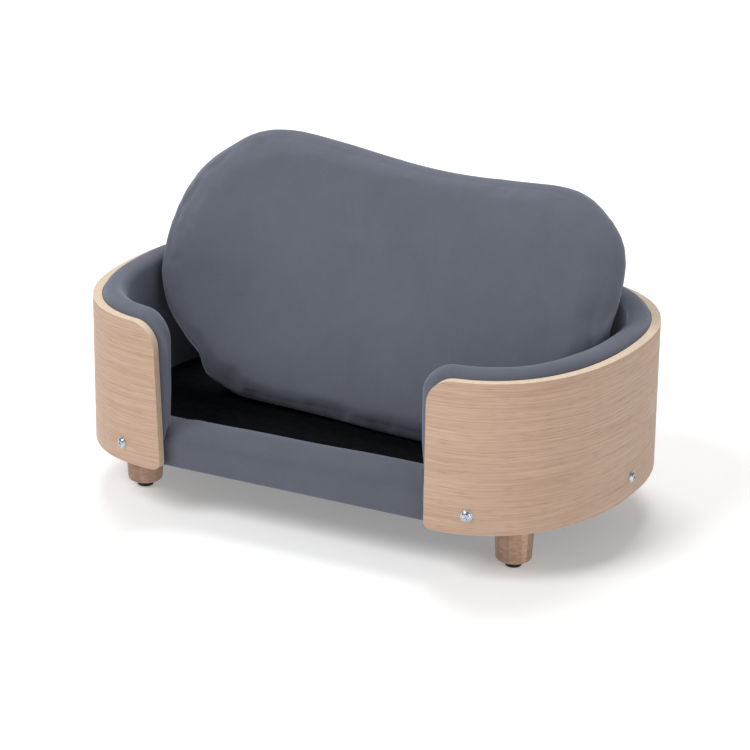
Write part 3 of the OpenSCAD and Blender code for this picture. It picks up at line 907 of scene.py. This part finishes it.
def inflate(cushion):
    # a cloth run under pressure swells the cover; no point may go farther than the cap
    s = cushionSet
    applyModifier(cushion, "REMESH", mode="VOXEL", voxel_size=s["voxel"])
    before = [vertex.co.copy() for vertex in cushion.data.vertices]
    normals = [vertex.normal.copy() for vertex in cushion.data.vertices]
    pick(cushion)
    modifier = cushion.modifiers.new("Inflate", "CLOTH")
    cloth = modifier.settings
    for key, value in s["cloth"].items():
        setattr(cloth, key, value)
    cloth.effector_weights.gravity = 0
    modifier.point_cache.frame_start = 1
    modifier.point_cache.frame_end = s["frames"]
    for step in range(1, s["frames"] + 1):
        bpy.context.scene.frame_set(step)
    bpy.ops.object.modifier_apply(modifier=modifier.name)
    bpy.context.scene.frame_set(1)
    largest = 0.0
    for vertex, start, normal in zip(cushion.data.vertices, before, normals):
        move = vertex.co - start
        flatMove = Vector((move.x, move.y, 0))
        if flatMove.dot(normal) < 0:            # the outline may grow, not shrink
            flatMove = Vector((0, 0, 0))
        elif flatMove.length > s["capRim"]:
            flatMove *= s["capRim"] / flatMove.length
        lift = max(-s["cap"], min(s["cap"], move.z))
        largest = max(largest, move.length)
        vertex.co = start + flatMove + Vector((0, 0, lift))
    print("cushion inflated, largest move %.1f mm" % (largest / mm))
    applyModifier(cushion, "SUBSURF", levels=1, render_levels=1)


def dressCushion(cushion):
    # seams between face and border, soft unevenness, and then the lean
    s = cushionSet
    halfH = (s["height"] - s["thick"]) / 2
    normals = [vertex.normal.copy() for vertex in cushion.data.vertices]
    for vertex, normal in zip(cushion.data.vertices, normals):
        u, v, w = vertex.co
        angle = math.atan2(v - halfH, u)
        pucker = 0.75 + 0.25 * math.sin(angle * s["puckers"] + 3 * noise.noise(Vector((angle * 4, 0, 0))))
        groove = s["seamDepth"] * pucker * hill(abs(w) - s["seamAt"], s["seamWidth"])
        swell = s["swell"] * noise.noise(Vector((u, v, w)) * s["swellScale"])
        vertex.co = vertex.co - normal * groove + normal * swell
        for du, dv, push, width in s["dents"]:
            way = Vector((-du, halfH - dv, 0)).normalized()
            vertex.co += way * push * hill(math.hypot(u - du, v - dv), width)
    for vertex in cushion.data.vertices:
        spot = leaning(*vertex.co)
        under = deckTop + 0.4 * mm - spot.z
        over = s["settleOver"]
        if under > -over:
            spot.z += (under + over) ** 2 / (4 * over) if under < over else under
        vertex.co = spot


def makeCushion():
    cushion = flatCushion()
    inflate(cushion)
    dressCushion(cushion)
    editAll(cushion, (bpy.ops.mesh.normals_make_consistent, {"inside": False}))
    cushion.data.materials.append(velvetCushion)
    smooth(cushion, 80)
    finishPiece(cushion, "cushion", "cushion_velvet", "cushion_cover", "cushion_filling")


makeCushion()
print("cushion made")


# turned legs with their glides

legSet = {
    "topD": 42 * mm,
    "footD": 36.4 * mm,
    "chamfer": 4 * mm,
    "glideD": 17 * mm,
    "glideRound": 0.8 * mm,
}
corners = ["front_left", "front_right", "back_left", "back_right"]


def selectFaces(piece, test):
    # in edit mode: only the faces whose middle and normal pass the test
    bpy.ops.mesh.select_mode(type="FACE")
    bpy.ops.mesh.select_all(action="DESELECT")
    bpy.ops.object.mode_set(mode="OBJECT")
    for face in piece.data.polygons:
        face.select = test(face.center, face.normal)
    bpy.ops.object.mode_set(mode="EDIT")


def roundFoot(piece, width, segments=4):
    # in edit mode: rounds the lower edge, and then only the bottom is selected
    selectFaces(piece, lambda middle, normal: normal.z < -0.9)
    bpy.ops.mesh.region_to_loop()
    bpy.ops.mesh.bevel(offset=width, segments=segments, affect="EDGES")
    selectFaces(piece, lambda middle, normal: normal.z < -0.999)


def makeLeg():
    low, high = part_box("front_left_leg")
    height = high[2] - low[2]
    deselectAll()
    bpy.ops.mesh.primitive_cone_add(vertices=96, radius1=legSet["footD"] / 2, radius2=legSet["topD"] / 2,
                                    depth=height, location=(0, 0, low[2] + height / 2))
    leg = newest("turnedLeg")
    settle(leg)
    pick(leg)
    bpy.ops.object.mode_set(mode="EDIT")
    roundFoot(leg, legSet["chamfer"])
    bpy.ops.mesh.inset(thickness=3 * mm)
    bpy.ops.mesh.inset(thickness=4 * mm)
    selectFaces(leg, lambda middle, normal: normal.z > 0.9)
    bpy.ops.mesh.inset(thickness=2 * mm)
    bpy.ops.mesh.inset(thickness=8 * mm)
    bpy.ops.object.mode_set(mode="OBJECT")
    leg.data.materials.append(legWood)
    smooth(leg, 35)
    return leg


def makeGlide():
    low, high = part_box("front_left_glide")
    height = high[2] - low[2]
    deselectAll()
    bpy.ops.mesh.primitive_cylinder_add(vertices=64, radius=legSet["glideD"] / 2, depth=height,
                                        location=(0, 0, low[2] + height / 2))
    glide = newest("glide")
    settle(glide)
    pick(glide)
    bpy.ops.object.mode_set(mode="EDIT")
    roundFoot(glide, legSet["glideRound"])
    bpy.ops.mesh.inset(thickness=3.2 * mm)
    bpy.ops.mesh.inset(thickness=0.7 * mm, depth=-0.9 * mm)      # recess of the glide's screw
    bpy.ops.object.mode_set(mode="OBJECT")
    glide.data.materials.append(blackPlastic)
    smooth(glide, 35)
    return glide


def placeAtCorners(model, kind, title, slotName):
    for number, corner in enumerate(corners):
        node = "%s_%s" % (corner, kind)
        low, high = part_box(node)
        middle = Vector(((low[0] + high[0]) / 2, (low[1] + high[1]) / 2, 0))
        turn = Matrix.Rotation(math.radians(37 * number), 4, "Z")
        piece = copyOf(model, Matrix.Translation(middle) @ turn)
        words = corner.split("_")
        piece.name = words[0] + words[1].title() + title
        piece.data.name = piece.name
        finishPiece(piece, "bed", slotName, node)
    bpy.data.objects.remove(model, do_unlink=True)


placeAtCorners(makeLeg(), "leg", "Leg", "leg_wood")
placeAtCorners(makeGlide(), "glide", "Glide", "glide_black")
print("legs and glides made")


# bolts through the shell

boltSet = {
    "headD": 12.4 * mm,
    "dome": 3.4 * mm,
    "flange": 0.9 * mm,
    "flangeRound": 0.35 * mm,
    "shankD": 6 * mm,
    "length": 34 * mm,
    "slot": 1.5 * mm,
    "slotLength": 6.4 * mm,
    "z": 75 * mm,
    "x": 200 * mm,
    "y": -7 * mm,
}


def makeBolt():
    # along +Z: the shank runs up from the seat, the head is below
    s = boltSet
    radius = s["headD"] / 2
    deselectAll()
    bpy.ops.mesh.primitive_cylinder_add(vertices=64, radius=radius, depth=s["flange"],
                                        location=(0, 0, -s["flange"] / 2))
    head = newest("bolt")
    settle(head)
    pick(head)
    bpy.ops.object.mode_set(mode="EDIT")
    roundFoot(head, s["flangeRound"], 3)
    bpy.ops.mesh.inset(thickness=0.5 * mm)
    rise = s["dome"] - s["flange"]
    steps = 9
    for i in range(1, steps):
        a0, a1 = math.pi / 2 * (i - 1) / steps, math.pi / 2 * i / steps
        step = -rise * (math.sin(a1) - math.sin(a0))
        bpy.ops.mesh.extrude_region_move(TRANSFORM_OT_translate={"value": (0, 0, step)})
        scale = math.cos(a1) / math.cos(a0)
        bpy.ops.transform.resize(value=(scale, scale, 1), center_override=(0, 0, 0))
    bpy.ops.object.mode_set(mode="OBJECT")
    mergeAndTurnOut(head, 0.005 * mm)
    cutters = []
    for turn in (0, 90):
        deselectAll()
        bpy.ops.mesh.primitive_cube_add(size=1, location=(0, 0, -s["dome"] - 0.2 * mm),
                                        rotation=(0, 0, math.radians(turn + 20)))
        cutter = newest("recess")
        cutter.scale = (s["slotLength"], s["slot"], 3.6 * mm)
        settle(cutter)
        applyModifier(cutter, "BEVEL", width=0.4 * mm, segments=3)
        cutters.append(cutter)
    for cutter in cutters:
        applyModifier(head, "BOOLEAN", operation="DIFFERENCE", object=cutter, solver="EXACT")
        bpy.data.objects.remove(cutter, do_unlink=True)
    deselectAll()
    bpy.ops.mesh.primitive_cylinder_add(vertices=32, radius=s["shankD"] / 2, depth=s["length"],
                                        location=(0, 0, s["length"] / 2 + 0.2 * mm))
    shank = newest("shank")
    settle(shank)
    applyModifier(shank, "BEVEL", width=0.6 * mm, segments=2, limit_method="ANGLE")
    bolt = joined("bolt", [head, shank])
    bolt.data.materials.append(zinc)
    smooth(bolt, 32)
    return bolt


def arcWhere(test):
    # the first place along the path where the test holds, by halving
    low, high = plan["doorHalf"], halfLength
    for _ in range(40):
        middle = (low + high) / 2
        if test(pathAt(middle)[0]):
            high = middle
        else:
            low = middle
    return high


def makeBolts():
    model = makeBolt()
    s = boltSet
    arcs = [arcWhere(lambda p: p.x >= s["x"] or p.y > 0),
            arcWhere(lambda p: p.y >= s["y"]),
            arcWhere(lambda p: p.x <= s["x"] and p.y > 0)]
    bolts = []
    for side in (1, -1):
        for number, arc in enumerate(arcs):
            point, normal = pathAt(arc)
            inward = Vector((-side * normal.x, -normal.y, 0))
            across = inward.cross(Vector((0, 0, 1))).normalized()
            turn = Matrix((across, Vector((0, 0, 1)), inward)).transposed().to_4x4()
            place = Matrix.Translation((side * point.x, point.y, s["z"]))
            spin = Matrix.Rotation(math.radians(31 * number + 11 * side), 4, "Z")
            bolts.append(copyOf(model, place @ turn @ spin))
    bpy.data.objects.remove(model, do_unlink=True)
    bolts = joined("shellBolts", bolts)
    mergeAndTurnOut(bolts, 0.002 * mm)
    smooth(bolts, 32)
    finishPiece(bolts, "bed", "zinc", "shell_bolts")


makeBolts()
print("bolts made")


# zip low on the cushion's back

zipSet = {
    "half": 175 * mm,
    "v": 40 * mm,
    "w": -32.7 * mm,
    "tooth": (1.3 * mm, 1.5 * mm, 2.6 * mm),
    "pitch": 2.5 * mm,
    "tape": 7 * mm,
    "body": (9 * mm, 2.4 * mm, 8 * mm),
    "pull": (5 * mm, 1.2 * mm, 26 * mm),
}


def zipMatrix():
    a = leaning(-zipSet["half"], zipSet["v"], zipSet["w"])
    b = leaning(zipSet["half"], zipSet["v"], zipSet["w"])
    along = (b - a).normalized()
    lean = math.radians((cushionSet["leanLeft"] + cushionSet["leanRight"]) / 2)
    turn = Matrix.Rotation(math.atan2(along.y, along.x), 4, "Z")
    drop = Matrix.Rotation(-math.asin(along.z), 4, "Y")
    return Matrix.Translation(a) @ turn @ drop @ Matrix.Rotation(-lean, 4, "X"), (b - a).length


def bevelledBlock(name, size, middle, width, segments=2):
    deselectAll()
    bpy.ops.mesh.primitive_cube_add(size=1, location=middle)
    block = newest(name)
    block.scale = size
    settle(block)
    applyModifier(block, "BEVEL", width=width, segments=segments)
    return block


def makeZip():
    place, length = zipMatrix()
    tape = bevelledBlock("tape", (length, 0.8 * mm, zipSet["tape"]), (length / 2, -0.1 * mm, 0), 0.3 * mm)
    tape.data.materials.append(zipTape)
    tape.data.materials.append(zipMetal)
    count = int(length / zipSet["pitch"])
    rows = []
    for side in (1, -1):
        toothAt = (zipSet["pitch"] * (0.5 + 0.25 * side), 0.5 * mm, side * 0.7 * mm)
        tooth = bevelledBlock("tooth", zipSet["tooth"], toothAt, 0.3 * mm, 1)
        applyModifier(tooth, "ARRAY", count=count, use_relative_offset=False,
                      use_constant_offset=True, constant_offset_displace=(zipSet["pitch"], 0, 0))
        tooth.data.materials.append(zipMetal)
        rows.append(tooth)
    chain = joined("zipChain", [tape] + rows)
    chain.data.transform(place)
    smooth(chain, 35)
    finishPiece(chain, "cushion", "zip_tape", "zip_chain")

    bodySize, pullSize = zipSet["body"], zipSet["pull"]
    start = 4 * mm
    bodyAt = (start + bodySize[0] / 2, 1.2 * mm + bodySize[1] / 2, 0)
    body = bevelledBlock("body", bodySize, bodyAt, 0.9 * mm, 3)
    deselectAll()
    bpy.ops.mesh.primitive_torus_add(major_radius=1.7 * mm, minor_radius=0.45 * mm, major_segments=28,
                                     minor_segments=10, location=(start + 4.5 * mm, 3.4 * mm, 1.2 * mm),
                                     rotation=(0, math.radians(90), 0))
    ring = newest("bail")
    settle(ring)
    pullAt = (start + 4.5 * mm, 3.4 * mm + pullSize[1] / 2, -11 * mm)
    pull = bevelledBlock("pull", pullSize, pullAt, 0.5 * mm, 3)
    holeAt = (start + 4.5 * mm, 4 * mm, -15.5 * mm)
    hole = bevelledBlock("hole", (2.2 * mm, 4 * mm, 9 * mm), holeAt, 0.6 * mm)
    applyModifier(pull, "BOOLEAN", operation="DIFFERENCE", object=hole, solver="EXACT")
    bpy.data.objects.remove(hole, do_unlink=True)
    slider = joined("zipSlider", [body, ring, pull])
    slider.data.materials.clear()
    slider.data.materials.append(zipMetal)
    slider.data.transform(place)
    smooth(slider, 35)
    finishPiece(slider, "zip", "zip_metal", "zip_slider")


makeZip()
print("zip made")


# floor, light and camera

stageSet = {
    "floor": 40.0,
    "world": 0.20,
    "seen": 0.44,                              # the sky as seen behind the floor's edge
    "glow": 0.26,                              # lifts the floor to a paper white
    "key": 196.0, "keyAt": (-1.9, -3.5, 4.3), "keySize": 3.0,
    "fill": 34.0, "fillAt": (3.4, -1.8, 1.1), "fillSize": 2.6,
    "back": 140.0, "backAt": (-0.9, 1.9, 4.4), "backSize": 3.2,
}


def makeStage():
    deselectAll()
    bpy.ops.mesh.primitive_plane_add(size=stageSet["floor"])
    floor = newest("floor")
    material, shader = newMaterial("paleFloor", Roughness=0.85, Specular_IOR_Level=0.1)
    cloud = noiseOn(material, objectPlace(material), 3, 3, 0.5)
    tone = rampOn(material, cloud, "Fac", [(0.3, grey(0.90)), (0.7, grey(0.915))])
    link(material, tone, "Color", shader, "Base Color")
    shader.inputs["Emission Color"].default_value = (1, 1, 1, 1)
    shader.inputs["Emission Strength"].default_value = stageSet["glow"]
    floor.data.materials.append(material)


def makeLight(name, power, spot, size):
    deselectAll()
    bpy.ops.object.light_add(type="AREA", location=spot)
    light = bpy.context.active_object
    light.name = name
    light.data.energy = power
    light.data.shape = "DISK"
    light.data.size = size
    aim = Vector((0, 0, 0.12)) - Vector(spot)
    light.rotation_euler = aim.to_track_quat("-Z", "Y").to_euler()


def makeWorld():
    world = bpy.data.worlds.new("studio")
    bpy.context.scene.world = world
    world.use_nodes = True
    sky = world.node_tree.nodes["Background"]
    sky.inputs["Color"].default_value = (0.97, 0.98, 1.0, 1)
    path = addNode(world, "ShaderNodeLightPath")
    extra = stageSet["seen"] - stageSet["world"]
    strength = addNode(world, "ShaderNodeMath", {1: extra, 2: stageSet["world"]}, operation="MULTIPLY_ADD")
    link(world, path, "Is Camera Ray", strength, 0)
    link(world, strength, "Value", sky, "Strength")


cameraSet = {
    "azimuth": 27.886,
    "elevation": 19.702,
    "distance": 2.9056,
    "target": (-9.1 * mm, 18.3 * mm, 121.88 * mm),
    "lens": 130.78,
    "roll": 0.698,
}


def makeCamera():
    s = cameraSet
    azimuth, elevation = math.radians(s["azimuth"]), math.radians(s["elevation"])
    target = Vector(s["target"])
    away = Vector((math.sin(azimuth) * math.cos(elevation), -math.cos(azimuth) * math.cos(elevation),
                   math.sin(elevation)))
    deselectAll()
    bpy.ops.object.camera_add(location=target + away * s["distance"])
    camera = bpy.context.active_object
    camera.name = "viewCamera"
    camera.data.lens = s["lens"]
    camera.data.sensor_width = 36
    camera.data.clip_end = 50
    camera.rotation_euler = (-away).to_track_quat("-Z", "Y").to_euler()
    camera.rotation_euler.rotate_axis("Z", math.radians(s["roll"]))
    bpy.context.scene.camera = camera


makeStage()
makeWorld()
for lamp in ("key", "fill", "back"):
    makeLight(lamp + "Light", stageSet[lamp], stageSet[lamp + "At"], stageSet[lamp + "Size"])
makeCamera()
bpy.context.scene.view_settings.view_transform = "Standard"
deselectAll()
